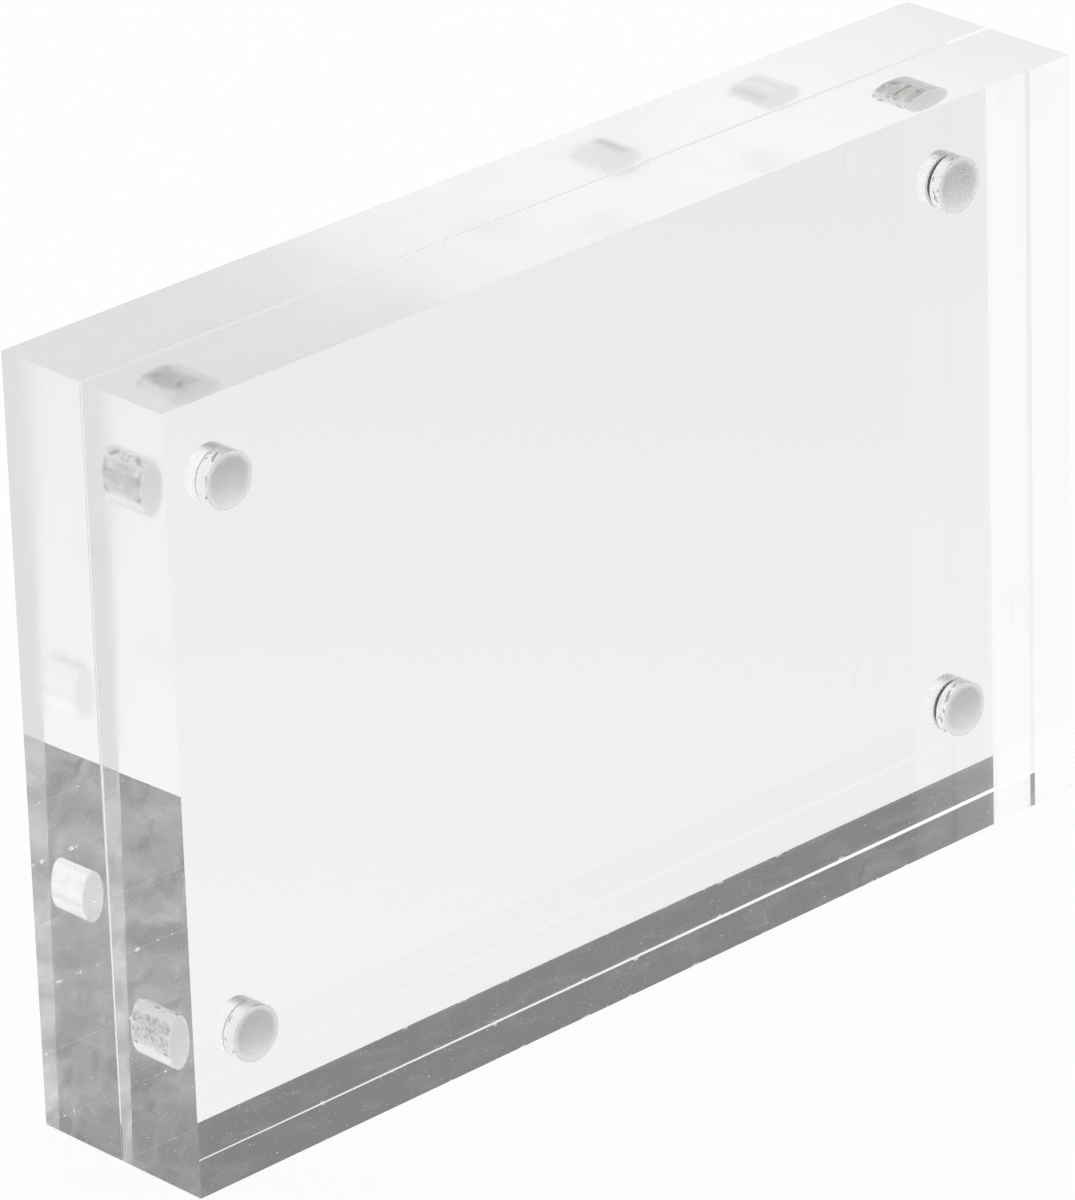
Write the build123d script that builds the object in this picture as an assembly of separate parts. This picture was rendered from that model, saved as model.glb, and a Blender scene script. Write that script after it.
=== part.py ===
from build123d import *
import os

# A block frame for a loose print: two polished slabs of clear acrylic stand face to face,
# and a disc magnet glued into each corner of one slab pulls on its partner in the other.
# Sizes are in millimetres. X runs to the right, Y to the back and Z up. The origin is under
# the middle of the standing frame, and a print would lie on the plane Y = 0.

# Slabs
block_width = 152.4
block_height = 101.6
block_thickness = 13.7
print_gap = 0.5  # left between the slabs for the print

# Magnets
magnet_diameter = 7.0
magnet_thickness = 3.0
magnet_edge_radius = 0.25
magnet_recess = 0.05  # how far a magnet sits below its slab's inner face
magnet_end_inset = 14.65  # from a slab's left or right end to a magnet's axis
magnet_edge_inset = 14.65  # from a slab's top or bottom edge to a magnet's axis

# Adhesive
bond_film = 0.13  # thickness round a magnet and under it
bore_clearance = 0.02  # left between the cured adhesive and the drilled hole
adhesive_setback = 0.1  # from a slab's inner face to the rim of the adhesive

# Sizes that follow from the ones above
hole_diameter = magnet_diameter + 2 * (bond_film + bore_clearance)
hole_depth = magnet_recess + magnet_thickness + bond_film + bore_clearance
adhesive_diameter = magnet_diameter + 2 * bond_film
adhesive_height = hole_depth - bore_clearance - adhesive_setback

# Each slab lies on one side of the print: the front one towards -Y.
sides = {"front": -1, "rear": 1}

# Corner names and the magnets' places across and up the slabs.
left = -block_width / 2 + magnet_end_inset
right = block_width / 2 - magnet_end_inset
bottom = magnet_edge_inset
top = block_height - magnet_edge_inset
corners = {
    "top_left": (left, top),
    "top_right": (right, top),
    "bottom_left": (left, bottom),
    "bottom_right": (right, bottom),
}


def hole_plane(side, place):
    """A plane on a slab's inner face at a magnet's axis, with its Z axis going into the slab."""
    x, z = place
    return Plane(origin=(x, side * print_gap / 2, z), x_dir=(1, 0, 0), z_dir=(0, side, 0))


def disc(diameter, start, length):
    """A round disc along Z, from a start height."""
    blank = Cylinder(diameter / 2, length, align=(Align.CENTER, Align.CENTER, Align.MIN))
    return Pos(0, 0, start) * blank


def magnet(side, place):
    """A plated disc magnet with rounded edges, set just below flush."""
    blank = disc(magnet_diameter, magnet_recess, magnet_thickness)
    rounded = fillet(blank.edges().filter_by(GeomType.CIRCLE), magnet_edge_radius)
    return hole_plane(side, place) * rounded


def adhesive(side, place):
    """The cured adhesive in a hole: a thin cup under the magnet and round its sides."""
    filling = hole_plane(side, place) * disc(adhesive_diameter, adhesive_setback, adhesive_height)
    return filling - magnet(side, place)


def block(side):
    """A sharp-edged slab with a flat-bottomed hole at each corner of its inner face."""
    middle = side * (print_gap + block_thickness) / 2
    slab = Pos(0, middle, block_height / 2) * Box(block_width, block_thickness, block_height)
    for place in corners.values():
        slab -= hole_plane(side, place) * disc(hole_diameter, 0, hole_depth)
    return slab


# One solid per piece, each under its own name.
pieces = {}
for side_name, side in sides.items():
    pieces[f"{side_name}_block"] = block(side)
    for corner_name, place in corners.items():
        pieces[f"{side_name}_magnet_{corner_name}"] = magnet(side, place)
        pieces[f"{side_name}_adhesive_{corner_name}"] = adhesive(side, place)

os.makedirs("parts", exist_ok=True)
for name, piece in pieces.items():
    piece.label = name
    export_step(piece, os.path.join("parts", f"{name}.step"))
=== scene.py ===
import math

import bpy
from mathutils import Matrix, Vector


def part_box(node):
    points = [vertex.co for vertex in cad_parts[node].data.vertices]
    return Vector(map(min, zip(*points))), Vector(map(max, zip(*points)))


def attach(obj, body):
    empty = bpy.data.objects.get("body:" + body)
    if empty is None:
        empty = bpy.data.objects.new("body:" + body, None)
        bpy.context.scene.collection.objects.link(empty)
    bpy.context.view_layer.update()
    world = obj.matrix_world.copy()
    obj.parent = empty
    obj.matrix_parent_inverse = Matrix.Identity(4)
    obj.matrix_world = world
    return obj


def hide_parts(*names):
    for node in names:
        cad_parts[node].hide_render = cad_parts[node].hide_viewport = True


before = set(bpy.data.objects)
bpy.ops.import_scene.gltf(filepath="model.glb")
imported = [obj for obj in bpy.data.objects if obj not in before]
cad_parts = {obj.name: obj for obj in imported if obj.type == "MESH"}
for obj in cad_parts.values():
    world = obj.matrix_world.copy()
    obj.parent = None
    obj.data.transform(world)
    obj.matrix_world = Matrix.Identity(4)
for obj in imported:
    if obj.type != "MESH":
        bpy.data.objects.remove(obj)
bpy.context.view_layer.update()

# Slabs: two blocks of clear cast acrylic, sawn to size and polished. They stand face to face with room for
# a print between them, and a flat-bottomed hole for a magnet is drilled into each corner of their inner
# faces. Sizes in the materials are in millimetres.
low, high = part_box("front_block")
half_width = high.x * 1000
block_height = high.z * 1000
half_height = block_height / 2
outer_face = -low.y * 1000
inner_face = -high.y * 1000
low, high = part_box("front_magnet_top_right")
magnet_x = (low.x + high.x) * 500
magnet_z = (low.z + high.z) * 500
low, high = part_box("front_adhesive_top_right")
film_radius = (high.x - low.x) * 500
film_gap = 0.02
bore_radius = film_radius + film_gap
thinning = 0.3
taper = thinning / (2 * half_width)


def linear(hex_colour):
    """An sRGB hex colour as the linear RGBA that Blender's sockets take."""
    channels = [int(hex_colour[i:i + 2], 16) / 255 for i in (1, 3, 5)]
    return [c / 12.92 if c <= 0.04045 else ((c + 0.055) / 1.055) ** 2.4 for c in channels] + [1.0]


def empty_material(name):
    """A new material with an empty node tree, and that tree."""
    material = bpy.data.materials.new(name)
    material.use_nodes = True
    material.node_tree.nodes.clear()
    return material, material.node_tree


def add(tree, kind, inputs=(), out=0, **settings):
    """Adds a node with its settings and gives one of its outputs. Its inputs, values or other nodes'
    outputs, come in the node's own order or in a dict under their names or numbers."""
    node = tree.nodes.new("ShaderNode" + kind)
    for name, value in settings.items():
        setattr(node, name, value)
    pairs = inputs if isinstance(inputs, dict) else dict(enumerate(inputs))
    for socket, value in pairs.items():
        if isinstance(value, bpy.types.NodeSocket):
            tree.links.new(value, node.inputs[socket])
        else:
            node.inputs[socket].default_value = value
    return node.outputs[out] if len(node.outputs) else node


def places(tree):
    """Object coordinates in millimetres: the vector, then X, Y and Z."""
    where = add(tree, "TexCoord", out="Object")
    vector = add(tree, "VectorMath", {0: where, "Scale": 1000.0}, operation="SCALE")
    return vector, *add(tree, "SeparateXYZ", [vector]).node.outputs


def from_hole(tree, vector):
    """Distance from the nearest magnet's axis."""
    centred = add(tree, "VectorMath", [vector, (0, 0, half_height)], operation="SUBTRACT")
    corner = add(tree, "VectorMath", [centred], operation="ABSOLUTE")
    axis = (magnet_x, 0, magnet_z - half_height)
    away = add(tree, "VectorMath", [corner, axis], operation="SUBTRACT")
    flat = add(tree, "VectorMath", [away, (1, 0, 1)], operation="MULTIPLY")
    return add(tree, "VectorMath", [flat], out="Value", operation="LENGTH")


def specks(tree, vector, spacing, size):
    """1 inside scattered round specks of that radius, one in each cell of that spacing."""
    cells = add(tree, "TexVoronoi", {"Vector": vector, "Scale": 1 / spacing})
    share = size / spacing
    return add(tree, "MapRange", [cells, share, 0.7 * share], interpolation_type="SMOOTHSTEP")


# Cast acrylic is clear and colourless: the eye sees what lies behind it, doubled and turned back by each
# polished face. Drilling leaves the holes grooved and frosted, and sawing leaves the top and the upper left
# end a little cloudy.
acrylic, tree = empty_material("polished_cast_acrylic")
vector, x, y, z = places(tree)
on_face = 0.02
from_seam = add(tree, "Math", [y], operation="ABSOLUTE")
to_left = add(tree, "Math", [x, half_width], operation="ADD")
to_right = add(tree, "Math", [half_width, x], operation="SUBTRACT")
to_end = add(tree, "Math", [to_left, to_right], operation="MINIMUM")
to_top = add(tree, "Math", [block_height, z], operation="SUBTRACT")
inner_here = add(tree, "Math", [x, taper, inner_face], operation="MULTIPLY_ADD")
to_inner = add(tree, "Math", [from_seam, inner_here], operation="SUBTRACT")
to_outer = add(tree, "Math", [outer_face, from_seam], operation="SUBTRACT")
to_face = add(tree, "Math", [to_inner, to_outer], operation="MINIMUM")
on_left = add(tree, "Math", [to_left, on_face], operation="LESS_THAN")
on_top = add(tree, "Math", [to_top, on_face], operation="LESS_THAN")
under = add(tree, "Math", [z, on_face], operation="LESS_THAN")

# The drilled holes: frosted all over, most of all at their flat ends, with the drill's turning marks.
hole_reach = 3.8
flat_end_depth = 3.4
drill_mark = 0.4
rear_frost = 0.28
front_frost = 0.38
flat_end_frost = 0.25
grain_frost = 0.1
radius = from_hole(tree, vector)
by_axis = add(tree, "Math", [radius, bore_radius + 0.03], operation="LESS_THAN")
by_seam = add(tree, "Math", [from_seam, hole_reach], operation="LESS_THAN")
drilled = add(tree, "Math", [by_axis, by_seam], operation="MULTIPLY")
grain = add(tree, "TexNoise", {"Vector": vector, "Scale": 1 / drill_mark, "Detail": 3.0})
flat_end = add(tree, "Math", [from_seam, flat_end_depth], operation="GREATER_THAN")
frost = add(tree, "MapRange", [y, 0.001, -0.001, rear_frost, front_frost])
frost = add(tree, "Math", [flat_end, flat_end_frost, frost], operation="MULTIPLY_ADD")
frost = add(tree, "Math", [grain, grain_frost, frost], operation="MULTIPLY_ADD")
rough = add(tree, "Math", [drilled, frost], operation="MULTIPLY")
turning = add(tree, "Math", [radius, y], operation="ADD")
turning = add(tree, "Math", [turning, 2 * math.pi / drill_mark], operation="MULTIPLY")
turning = add(tree, "Math", [turning], operation="SINE")
turning = add(tree, "Math", [grain, 0.5, turning], operation="MULTIPLY_ADD")
grooves = add(tree, "Math", [drilled, turning], operation="MULTIPLY")

# Wear: small chips along the bottom edges, scraped edges beside the join at the left end, dust and scuffs
# underneath, and a few stray specks.
flake = 2.2
edge_line = 0.009
chip_width = 0.35
low_scrape, high_scrape = 0.04, 0.2
worn_rough = 0.6
dust_rough = 0.5
scuff = 8.0
grit = 0.15
grit_rough = 0.4
stray_rough = 0.4
chipped = add(tree, "TexNoise", {"Vector": vector, "Scale": 1 / flake, "Detail": 3.0})
chipped = add(tree, "MapRange", [chipped, 0.61, 0.73], interpolation_type="SMOOTHSTEP")
wear_width = add(tree, "Math", [chipped, chip_width, edge_line], operation="MULTIPLY_ADD")
to_side = add(tree, "Math", [to_end, to_face], operation="MINIMUM")
to_foot = add(tree, "Math", [to_side, z], operation="MAXIMUM")
worn = add(tree, "Math", [to_foot, wear_width], operation="LESS_THAN")
scrape_width = add(tree, "MapRange", [z, 0.0, 60.0, low_scrape, high_scrape])
to_join = add(tree, "Math", [to_left, to_inner], operation="MAXIMUM")
scraped = add(tree, "Math", [to_join, scrape_width], operation="LESS_THAN")
worn = add(tree, "Math", [worn, scraped], operation="MAXIMUM")
rough = add(tree, "Math", [worn, worn_rough, rough], operation="MULTIPLY_ADD")
coarse_dust = specks(tree, vector, 3.5, 0.2)
fine_dust = specks(tree, vector, 1.0, 0.12)
dust = add(tree, "Math", [coarse_dust, fine_dust], operation="MAXIMUM")
dust = add(tree, "Math", [dust, dust_rough], operation="MULTIPLY")
scuffed = add(tree, "TexNoise", {"Vector": vector, "Scale": 1 / scuff, "Detail": 1.0})
scuffed = add(tree, "MapRange", [scuffed, 0.4, 0.65], interpolation_type="SMOOTHSTEP")
gritty = add(tree, "TexNoise", {"Vector": vector, "Scale": 1 / grit, "Detail": 3.0})
gritty = add(tree, "MapRange", [gritty, 0.5, 0.68, 0.0, grit_rough], interpolation_type="SMOOTHSTEP")
foot_marks = add(tree, "Math", [scuffed, gritty, dust], operation="MULTIPLY_ADD")
rough = add(tree, "Math", [under, foot_marks, rough], operation="MULTIPLY_ADD")
stray = specks(tree, vector, 5.0, 0.16)
rough = add(tree, "Math", [stray, stray_rough, rough], operation="MULTIPLY_ADD")

# The saw's haze, which the polish has not quite cleared from the top and the upper left end.
cloud = 8.0
mid_haze, high_haze = 0.07, 0.15
left_haze, right_haze = 0.18, 0.04
haze = add(tree, "TexNoise", {"Vector": vector, "Scale": 1 / cloud, "Detail": 3.0})
haze = add(tree, "Math", [haze, 0.8, 0.6], operation="MULTIPLY_ADD")
end_haze = add(tree, "MapRange", [z, half_height, block_height, mid_haze, high_haze])
high_up = add(tree, "MapRange", [z, 51.0, 58.0], interpolation_type="SMOOTHSTEP")
high_up = add(tree, "Math", [on_left, high_up], operation="MULTIPLY")
end_haze = add(tree, "Math", [high_up, end_haze], operation="MULTIPLY")
top_haze = add(tree, "MapRange", [x, -half_width, half_width, left_haze, right_haze])
hazy = add(tree, "Math", [on_top, top_haze, end_haze], operation="MULTIPLY_ADD")
rough = add(tree, "Math", [hazy, haze, rough], operation="MULTIPLY_ADD", use_clamp=True)

# Heights in millimetres: grooves in the holes, and a slow swell left by polishing.
swell = 16.0
face_swell = 0.006
extra_swell = 0.016
groove_height = 0.003
swelling = add(tree, "TexNoise", {"Vector": vector, "Scale": 1 / swell, "Detail": 1.0})
swollen = add(tree, "Math", [on_left, on_top], operation="MAXIMUM")
swell_height = add(tree, "Math", [swollen, extra_swell, face_swell], operation="MULTIPLY_ADD")
height = add(tree, "Math", [swelling, swell_height], operation="MULTIPLY")
height = add(tree, "Math", [grooves, groove_height, height], operation="MULTIPLY_ADD")
normal = add(tree, "Bump", {"Height": height, "Strength": 1.0, "Distance": 0.001})
clear = add(tree, "BsdfPrincipled", {"Base Color": linear("#FFFFFF"), "Roughness": rough, "IOR": 1.49,
                                     "Transmission Weight": 1.0, "Normal": normal})
add(tree, "OutputMaterial", {"Surface": clear})


def pick(obj):
    """Makes obj the one selected and active object."""
    bpy.ops.object.select_all(action="DESELECT")
    obj.select_set(True)
    bpy.context.view_layer.objects.active = obj


def select(obj, kind, wanted):
    """Selects only those vertices, edges or faces of obj for which wanted is true, and enters edit mode."""
    bpy.ops.object.mode_set(mode="EDIT")
    bpy.ops.mesh.select_mode(type=kind)
    bpy.ops.mesh.select_all(action="DESELECT")
    bpy.ops.object.mode_set(mode="OBJECT")
    mesh = obj.data
    for part in {"VERT": mesh.vertices, "EDGE": mesh.edges, "FACE": mesh.polygons}[kind]:
        points = [part.co] if kind == "VERT" else [mesh.vertices[i].co for i in part.vertices]
        if wanted(part, points):
            part.select = True
    bpy.ops.object.mode_set(mode="EDIT")


# The cast sheet is a little thinner to the right, so the inner faces lean and the join is wider there.
sharp_edge = math.radians(40)
for name in ("front_block", "rear_block"):
    low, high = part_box(name)
    side = -1 if name.startswith("front") else 1
    inner_y = high.y if side < 0 else low.y
    slab = bpy.data.objects.new(name.replace("block", "slab"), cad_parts[name].data.copy())
    bpy.context.collection.objects.link(slab)
    pick(slab)
    bpy.ops.mesh.customdata_custom_splitnormals_clear()
    bpy.ops.object.mode_set(mode="EDIT")
    bpy.ops.mesh.select_all(action="SELECT")
    bpy.ops.mesh.remove_doubles(threshold=0.000001)
    select(slab, "VERT", lambda vertex, points: abs(points[0].y - inner_y) < 0.00001)
    bpy.ops.transform.rotate(value=-side * taper, orient_axis="Z", center_override=(0, inner_y, 0))
    bpy.ops.object.mode_set(mode="OBJECT")
    bpy.ops.object.shade_smooth_by_angle(angle=sharp_edge)
    slab.data.materials.clear()
    slab.data.materials.append(acrylic)
    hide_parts(name)
    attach(slab, name.split("_")[0])

# Disc magnets: pressed neodymium under a bright nickel plate, a little dulled by handling. Each is held in
# its hole by adhesive, about flush with the slab's inner face.
dull_patch = 0.8
pit = 0.07
pit_depth = 0.000002
bright_rough = 0.12
dull_rough = 0.25

# Nickel plate is a warm grey metal: the eye sees soft reflections, with fine pits and duller patches.
nickel, tree = empty_material("bright_nickel_plate")
vector, x, y, z = places(tree)
dull = add(tree, "TexNoise", {"Vector": vector, "Scale": 1 / dull_patch, "Detail": 3.0})
pits = add(tree, "TexNoise", {"Vector": vector, "Scale": 1 / pit, "Detail": 2.0})
rough = add(tree, "Math", [dull, dull_rough, bright_rough], operation="MULTIPLY_ADD")
colour = add(tree, "Mix", {0: dull, 6: linear("#DCD9D3"), 7: linear("#C6C3BD")}, out=2, data_type="RGBA")
normal = add(tree, "Bump", {"Height": pits, "Strength": 1.0, "Distance": pit_depth})
plate = add(tree, "BsdfPrincipled", {"Base Color": colour, "Metallic": 1.0, "Roughness": rough,
                                     "Normal": normal})
add(tree, "OutputMaterial", {"Surface": plate})
for name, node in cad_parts.items():
    if "magnet" in name:
        node.data.materials.clear()
        node.data.materials.append(nickel)

# Cured adhesive: a thin uneven cup round each magnet, put into the hole before the magnet, with a rim that
# runs over the magnet's rounded edge. It wets the hole's wall only in patches, and elsewhere a film of air
# leaves it pearly.
low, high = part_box("front_magnet_top_right")
magnet_radius = (high.x - low.x) / 2
low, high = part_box("rear_adhesive_top_right")
cup_height = high.y - low.y - 0.00002
cup_radius = film_radius / 1000
cup_floor = 0.00011
rim_overlap = 0.0003
floor_rings = 6
floor_ring = 0.0005
wall_cuts = 27
bpy.ops.object.select_all(action="DESELECT")
bpy.ops.mesh.primitive_cylinder_add(vertices=96, radius=cup_radius, depth=cup_height, end_fill_type="NGON",
                                    rotation=(-math.pi / 2, 0, 0))
cup = bpy.context.object
bpy.ops.object.transform_apply(location=False, rotation=True, scale=False)


def on_cup_wall(point):
    """Whether a point of the cup lies on its outer wall."""
    return math.hypot(point.x, point.z) > cup_radius - 0.00001


def runs_up_wall(edge, points):
    """Whether an edge of the cup runs up its outer wall."""
    return abs(points[0].y - points[1].y) > 0.0005 and on_cup_wall(points[0])


select(cup, "FACE", lambda face, points: face.normal.y < -0.9)
bpy.ops.mesh.inset(thickness=cup_radius - magnet_radius + rim_overlap)
bpy.ops.mesh.extrude_region_move(TRANSFORM_OT_translate={"value": (0, cup_height - cup_floor, 0)})
select(cup, "FACE", lambda face, points: face.normal.y > 0.9)
for ring in range(floor_rings):
    bpy.ops.mesh.inset(thickness=floor_ring)
bpy.ops.mesh.poke()
select(cup, "EDGE", runs_up_wall)
bpy.ops.mesh.subdivide(number_cuts=wall_cuts)
bpy.ops.object.mode_set(mode="OBJECT")
bpy.ops.object.shade_smooth_by_angle(angle=sharp_edge)
wall = cup.vertex_groups.new(name="wall")
wall.add([v.index for v in cup.data.vertices if on_cup_wall(v.co)], 1.0, "REPLACE")

patches = bpy.data.textures.new("adhesive_patches", "CLOUDS")
patches.noise_scale = 0.0012
patches.noise_depth = 3
patches.contrast = 3.0

# Cured adhesive is milky: white behind; painted shade makes it greyer and mottled round the front magnets,
# and grey over a magnet's end, most towards its upper side. It is darker where it wets the wall.
milky_patch = 1.6
mottle = 0.5
film_grain = 0.17
grain_depth = 0.000006
rear_share = 0.2
glue, tree = empty_material("cured_adhesive")
vector, x, y, z = places(tree)
radius = from_hole(tree, vector)
in_front = add(tree, "MapRange", [y, 0.001, -0.001])
cloudy = add(tree, "TexNoise", {"Vector": vector, "Scale": 1 / milky_patch, "Detail": 3.0})
fine = add(tree, "TexNoise", {"Vector": vector, "Scale": 1 / film_grain, "Detail": 3.0})
milky = add(tree, "Mix", {0: cloudy, 6: linear("#F8F8F7"), 7: linear("#FFFFFE")}, out=2, data_type="RGBA")
# Painted shade: the front beads' walls are greyer near the hole's wall, mottled.
mottled = add(tree, "TexNoise", {"Vector": vector, "Scale": 1 / mottle, "Detail": 3.0})
mottled = add(tree, "MapRange", [mottled, 0.35, 0.62])
painted_front_shade = add(tree, "Mix", {0: mottled, 6: linear("#989795"), 7: linear("#DADAD8")}, out=2, data_type="RGBA")
by_wall = add(tree, "MapRange", [radius, 3.5, 3.6])
by_wall = add(tree, "Math", [by_wall, in_front], operation="MULTIPLY")
milky = add(tree, "Mix", {0: by_wall, 6: milky, 7: painted_front_shade}, out=2, data_type="RGBA")

# Painted shade over the magnet's end, darker towards its upper side, broken by the drill's rings.
from_middle = add(tree, "Math", [z, half_height], operation="SUBTRACT")
half = add(tree, "Math", [from_middle], operation="SIGN")
up = add(tree, "Math", [half, half_height - magnet_z, from_middle], operation="MULTIPLY_ADD")
up = add(tree, "Math", [cloudy, 3.0, up], operation="MULTIPLY_ADD")
painted_end_shade = add(tree, "MapRange", [up, -4.0, 3.5], interpolation_type="SMOOTHSTEP")
central = add(tree, "MapRange", [radius, 3.7, 2.6], interpolation_type="SMOOTHSTEP")
painted_end_shade = add(tree, "Math", [painted_end_shade, central], operation="MULTIPLY")
rings = add(tree, "Math", [radius, 2 * math.pi / drill_mark], operation="MULTIPLY")
rings = add(tree, "Math", [rings], operation="SINE")
rings = add(tree, "Math", [rings, 0.12, 0.88], operation="MULTIPLY_ADD")
painted_end_shade = add(tree, "Math", [painted_end_shade, rings], operation="MULTIPLY")
uneven = add(tree, "Math", [in_front, 1 - rear_share, rear_share], operation="MULTIPLY_ADD")
painted_end_shade = add(tree, "Math", [painted_end_shade, uneven], operation="MULTIPLY")
# The painted shade over the magnet's end, mixed in as a grey.
colour = add(tree, "Mix", {0: painted_end_shade, 6: milky, 7: linear("#B0AFAD")}, out=2, data_type="RGBA")

# Damp and darker where the film's surface comes near the hole's wall.
damp = add(tree, "Mix", {0: fine, 6: linear("#9C9A96"), 7: linear("#C6C3BE")}, out=2, data_type="RGBA")
wet = add(tree, "MapRange", [radius, bore_radius - 0.018, bore_radius - 0.003],
          interpolation_type="SMOOTHSTEP")
wet = add(tree, "Math", [wet, uneven], operation="MULTIPLY")
colour = add(tree, "Mix", {0: wet, 6: colour, 7: damp}, out=2, data_type="RGBA")
normal = add(tree, "Bump", {"Height": fine, "Strength": 1.0, "Distance": grain_depth})
film = add(tree, "BsdfPrincipled", {"Base Color": colour, "Roughness": 0.45, "IOR": 1.5, "Normal": normal})
add(tree, "OutputMaterial", {"Surface": film})
cup.data.materials.append(glue)

# Each bead follows the lean of its slab's inner face, and its rim stands higher or lower with how much
# adhesive its corner got. The front beads meet the hole's wall in more places than the rear ones.
corner_fill = {"top_left": 0.00008, "bottom_left": 0.00008, "top_right": -0.0003, "bottom_right": 0.00017}
wall_unevenness = 0.00008
front_level, rear_level = 0.77, 0.9
for name in [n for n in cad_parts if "adhesive" in n]:
    low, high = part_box(name)
    side = -1 if name.startswith("front") else 1
    bead = cup.copy()
    bead.data = cup.data.copy()
    bead.name = name + "_bead"
    bpy.context.collection.objects.link(bead)
    bead.location = (low + high) / 2
    rise = corner_fill[name.split("_adhesive_")[1]] - taper * bead.location.x
    bead.location.y -= side * rise / 2
    bead.scale.y = 1 + rise / cup_height
    if side < 0:
        bead.rotation_euler = (0, 0, math.pi)
    pick(bead)
    bpy.ops.object.transform_apply(location=True, rotation=True, scale=True)
    unevenness = bead.modifiers.new("unevenness", "DISPLACE")
    unevenness.texture = patches
    unevenness.vertex_group = "wall"
    unevenness.strength = wall_unevenness
    unevenness.mid_level = front_level if side < 0 else rear_level
    bpy.ops.object.modifier_apply(modifier="unevenness")
    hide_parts(name)
    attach(bead, name.split("_")[0])
bpy.data.objects.remove(cup)
bpy.data.textures.remove(patches)

# Studio floor: a white paper sweep that runs out of sight. The camera sees it white, with what little
# shadow a clear block leaves on it.
floor_drop = 0.00015
white_share = 0.75
bpy.ops.object.select_all(action="DESELECT")
bpy.ops.mesh.primitive_plane_add(size=12, location=(0, 0, -floor_drop))
floor = bpy.context.object
floor.name = "floor"
paper, tree = empty_material("white_paper_sweep")
seen = add(tree, "LightPath", out="Is Camera Ray")
share = add(tree, "Math", [seen, white_share], operation="MULTIPLY")
matt = add(tree, "BsdfDiffuse", {"Color": linear("#FBFBFB")})
glow = add(tree, "Emission", {"Color": linear("#FFFFFF"), "Strength": 1.0})
add(tree, "OutputMaterial", {"Surface": add(tree, "MixShader", [share, matt, glow])})
floor.data.materials.append(paper)
floor.visible_glossy = False
floor.visible_transmission = False

# The paper right under the slabs, as it shows down through their top edges: painted light, a glow standing
# in for the paper lit through the acrylic, brighter to the right. Only rays that have passed through a slab
# meet it.
under_drop = 0.0001
bpy.ops.object.select_all(action="DESELECT")
bpy.ops.mesh.primitive_plane_add(size=1, location=(0, 0, -under_drop))
lit_paper = bpy.context.object
lit_paper.name = "paper_under_slabs"
lit_paper.scale = (half_width / 500, outer_face / 500, 1)
bpy.ops.object.transform_apply(location=True, rotation=False, scale=True)
under_light, tree = empty_material("paper_lit_through_acrylic")
vector, x, y, z = places(tree)
along = add(tree, "MapRange", [x, -15.0, 65.0], interpolation_type="SMOOTHSTEP")
colour = add(tree, "Mix", {0: along, 6: linear("#EDEDEB"), 7: linear("#FFFFFE")}, out=2, data_type="RGBA")
add(tree, "OutputMaterial", {"Surface": add(tree, "Emission", {"Color": colour, "Strength": 1.06})})
lit_paper.data.materials.append(under_light)
lit_paper.visible_camera = False
lit_paper.visible_diffuse = False
lit_paper.visible_glossy = False
lit_paper.visible_shadow = False

# Light: an even white room lights the pieces. What shows through and in the clear slabs is the same room
# with a bright left side, a paler floor to the right and a grey upper right.
scene = bpy.context.scene
world = bpy.data.worlds.new("studio")
scene.world = world
world.use_nodes = True
tree = world.node_tree
tree.nodes.clear()
direction = add(tree, "TexCoord", out="Generated")
x, y, z = add(tree, "SeparateXYZ", [direction]).node.outputs
right = add(tree, "MapRange", [x, -0.3, 0.3], interpolation_type="SMOOTHSTEP")
back = add(tree, "MapRange", [y, -0.3, 0.3], interpolation_type="SMOOTHSTEP")
up = add(tree, "MapRange", [z, -0.2, 0.2], interpolation_type="SMOOTHSTEP")
near = add(tree, "MapRange", [z, -0.35, -0.50])
right_back = add(tree, "Mix", {0: near, 6: linear("#EAEAE8"), 7: linear("#FEFEFC")}, out=2, data_type="RGBA")
left_back = add(tree, "Mix", {0: near, 6: linear("#FAFAF8"), 7: linear("#FFFFFF")}, out=2, data_type="RGBA")
floor_right = add(tree, "Mix", {0: back, 6: linear("#DADADD"), 7: right_back}, out=2, data_type="RGBA")
floor_left = add(tree, "Mix", {0: back, 6: linear("#FFFFFF"), 7: left_back}, out=2, data_type="RGBA")
lower = add(tree, "Mix", {0: right, 6: floor_left, 7: floor_right}, out=2, data_type="RGBA")

# The grey upper right: streaky and paler in its low left part, and a little paler again at its right end.
back_grey, right_end_grey, front_grey = 0.185, 0.33, 0.36
back_paler, front_paler = 0.13, 0.14
left_part = add(tree, "MapRange", [x, 0.581, 0.568], interpolation_type="SMOOTHSTEP")
low_part = add(tree, "MapRange", [z, 0.4685, 0.462], interpolation_type="SMOOTHSTEP")
paler = add(tree, "Math", [left_part, low_part], operation="MULTIPLY")
right_end = add(tree, "MapRange", [x, 0.643, 0.66, back_grey, right_end_grey],
                interpolation_type="SMOOTHSTEP")
across = add(tree, "Math", [x, 0.63, z], operation="MULTIPLY_ADD")
along = add(tree, "Math", [z, x], operation="SUBTRACT")
streaks = add(tree, "CombineXYZ", [across, along])
streaks = add(tree, "VectorMath", [streaks, (350, 100, 0)], operation="MULTIPLY")
streaks = add(tree, "TexNoise", {"Vector": streaks, "Scale": 1.0, "Detail": 2.0})
streaks = add(tree, "Math", [streaks, 2.0, -1.0], operation="MULTIPLY_ADD")
streaks = add(tree, "Math", [streaks, left_part, 1.0], operation="MULTIPLY_ADD")
dark_back = add(tree, "Math", [paler, back_paler, right_end], operation="MULTIPLY_ADD")
dark_back = add(tree, "Math", [dark_back, streaks], operation="MULTIPLY")
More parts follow.
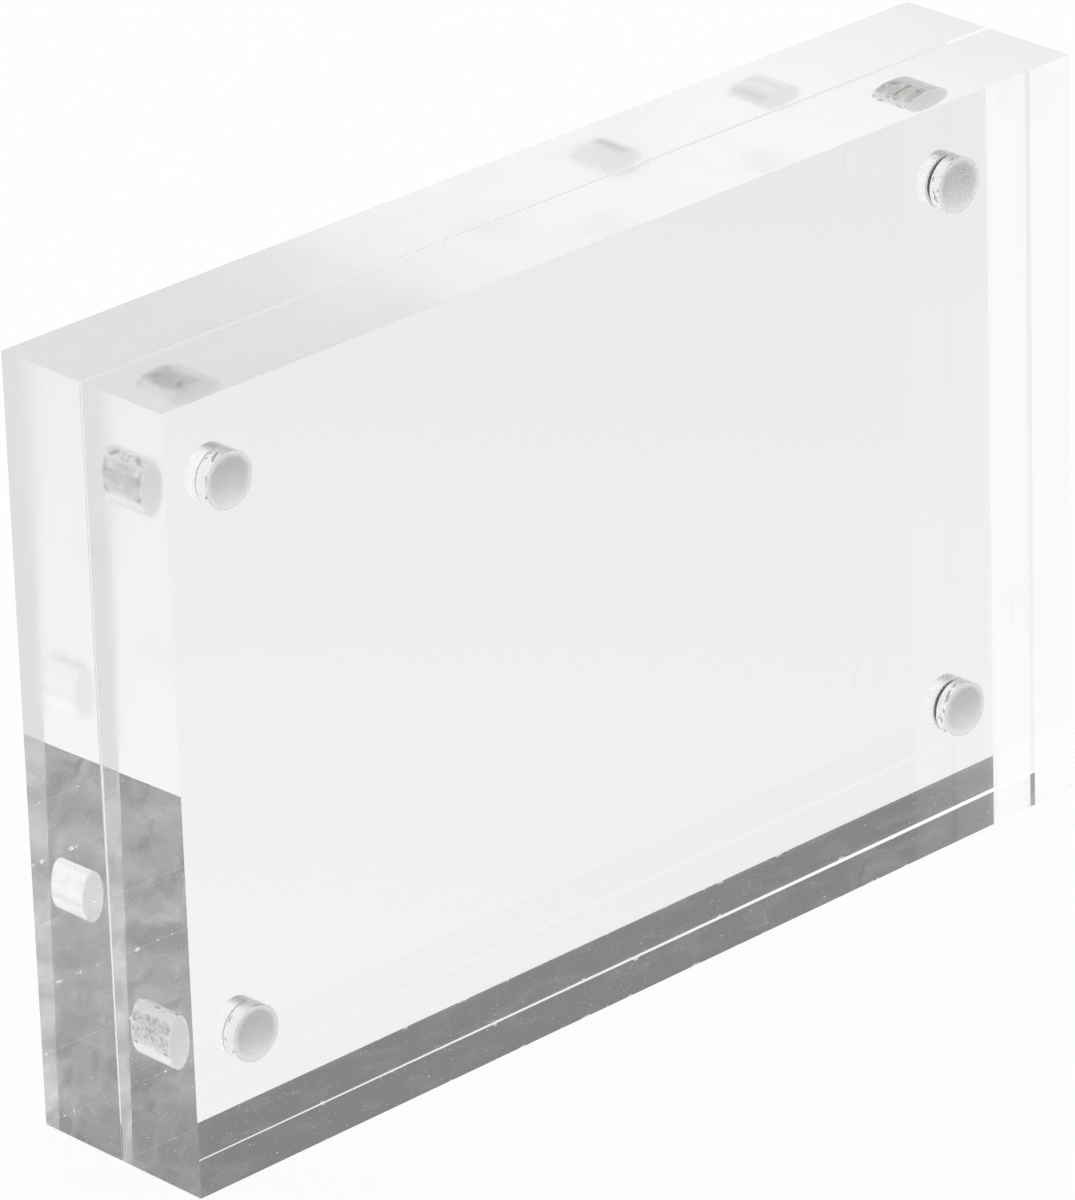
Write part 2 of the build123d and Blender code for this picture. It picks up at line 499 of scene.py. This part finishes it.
dark_front = add(tree, "Math", [paler, front_paler, front_grey], operation="MULTIPLY_ADD")
dark_front = add(tree, "Math", [dark_front, streaks], operation="MULTIPLY")
outer_limit = math.cos(math.radians(30))
inner_limit = math.cos(math.radians(14))
roof = linear("#FFFFFF")
for middle, shade in (((0.62, 0.65, 0.44), dark_back), ((0.60, -0.68, 0.42), dark_front)):
    closeness = add(tree, "VectorMath", [direction, middle], out="Value", operation="DOT_PRODUCT")
    share = add(tree, "MapRange", [closeness, outer_limit, inner_limit], interpolation_type="SMOOTHSTEP")
    roof = add(tree, "Mix", {0: share, 6: roof, 7: shade}, out=2, data_type="RGBA")
room = add(tree, "Mix", {0: up, 6: lower, 7: roof}, out=2, data_type="RGBA")
even = add(tree, "Background", {"Color": linear("#FFFFFF"), "Strength": 1.0})
shown = add(tree, "Background", {"Color": room, "Strength": 1.0})
mirrored = add(tree, "LightPath", out="Is Glossy Ray")
passed = add(tree, "LightPath", out="Is Transmission Ray")
through = add(tree, "Math", [mirrored, passed], operation="MAXIMUM")
add(tree, "OutputWorld", {"Surface": add(tree, "MixShader", [through, even, shown])})

# Camera: a long lens from the front left, a little above.
camera = bpy.data.objects.new("camera", bpy.data.cameras.new("camera"))
scene.collection.objects.link(camera)
camera.location = (-0.68745, -0.72147, 0.50319)
turn = Matrix.Rotation(math.radians(-43.4129), 3, "Z")
tilt = Matrix.Rotation(math.radians(90 - 24.5344), 3, "X")
roll = Matrix.Rotation(math.radians(-1.8079), 3, "Z")
camera.rotation_euler = (turn @ tilt @ roll).to_euler()
camera.data.lens = 267.115
camera.data.sensor_width = 36
camera.data.clip_end = 100
scene.camera = camera

# Clear slabs turn light back many times, and a ray's gloss is kept as it is at every turn.
turns = 128
scene.view_settings.view_transform = "Standard"
scene.cycles.sampling_pattern = "TABULATED_SOBOL"
scene.cycles.blur_glossy = 0.0
scene.cycles.max_bounces = turns
scene.cycles.glossy_bounces = turns
scene.cycles.transmission_bounces = turns
scene.cycles.transparent_max_bounces = 32
